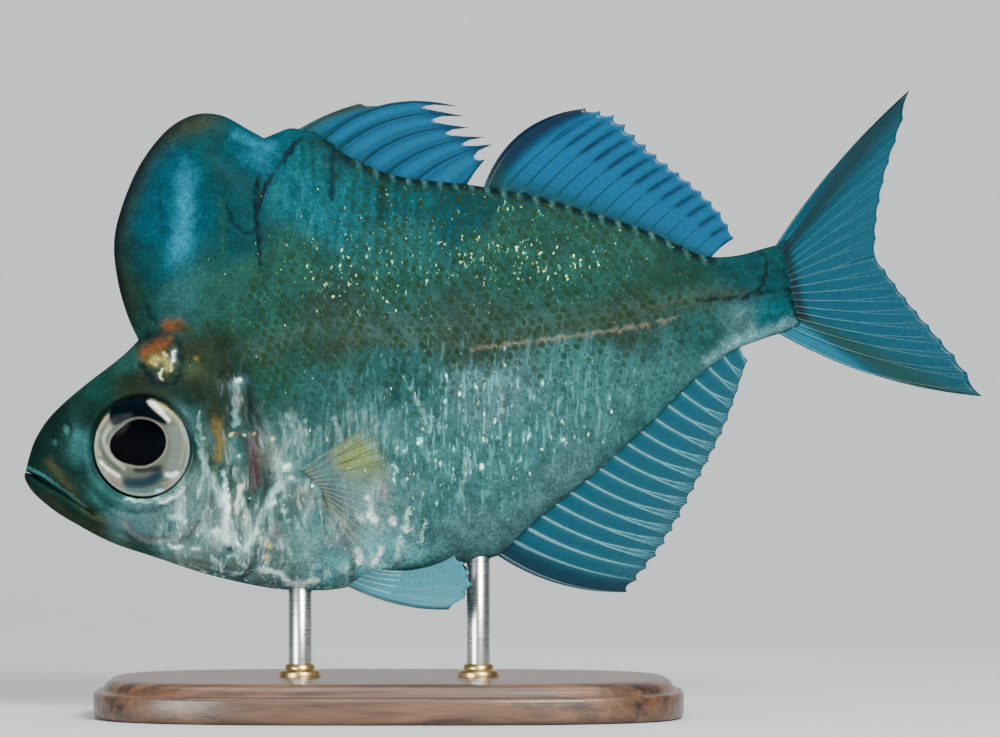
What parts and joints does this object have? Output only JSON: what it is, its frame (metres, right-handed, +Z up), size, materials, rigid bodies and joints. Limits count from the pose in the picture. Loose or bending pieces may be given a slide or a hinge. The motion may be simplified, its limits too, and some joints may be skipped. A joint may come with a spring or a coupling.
{
  "type": "humphead glassfish",
  "caption": "Deep, thin fish with a tall hump over its small head, spiny and soft back fins and a forked tail, head down over a flat base with rods.",
  "frame": {"origin": "middle of the base's underside, where the stand rests on a table", "axes": "+X from the head to the tail along the level, +Y to the fish's right, +Z up; the fish's own axis dips 13.6 degrees to the snout"},
  "size_m": [0.0977, 0.036, 0.0637],
  "materials": {
    "flesh": "wet, finely scaled skin",
    "gill_cover": "silvery, smooth",
    "hump": "clear blue-green, smooth",
    "eye": "silver ring round a black pupil",
    "fin": "thin and clear, with rays",
    "wood": "satin dark wood",
    "steel": "satin"
  },
  "bodies": {
    "root": {"head": "flesh", "lower_jaw": "flesh", "trunk": "flesh", "tail_peduncle": "flesh", "gill_cover_left": "gill_cover", "gill_cover_right": "gill_cover", "nuchal_hump": "hump", "eye_left": "eye", "eye_right": "eye", "dorsal_fin_spiny": "fin", "dorsal_fin_soft": "fin", "anal_fin": "fin", "caudal_fin_upper": "fin", "caudal_fin_lower": "fin", "pectoral_fin_left": "fin", "pectoral_fin_right": "fin", "pelvic_fin_left": "fin", "pelvic_fin_right": "fin", "stand_base": "wood", "stand_rod_front": "steel", "stand_rod_rear": "steel"}
  },
  "joints": []
}
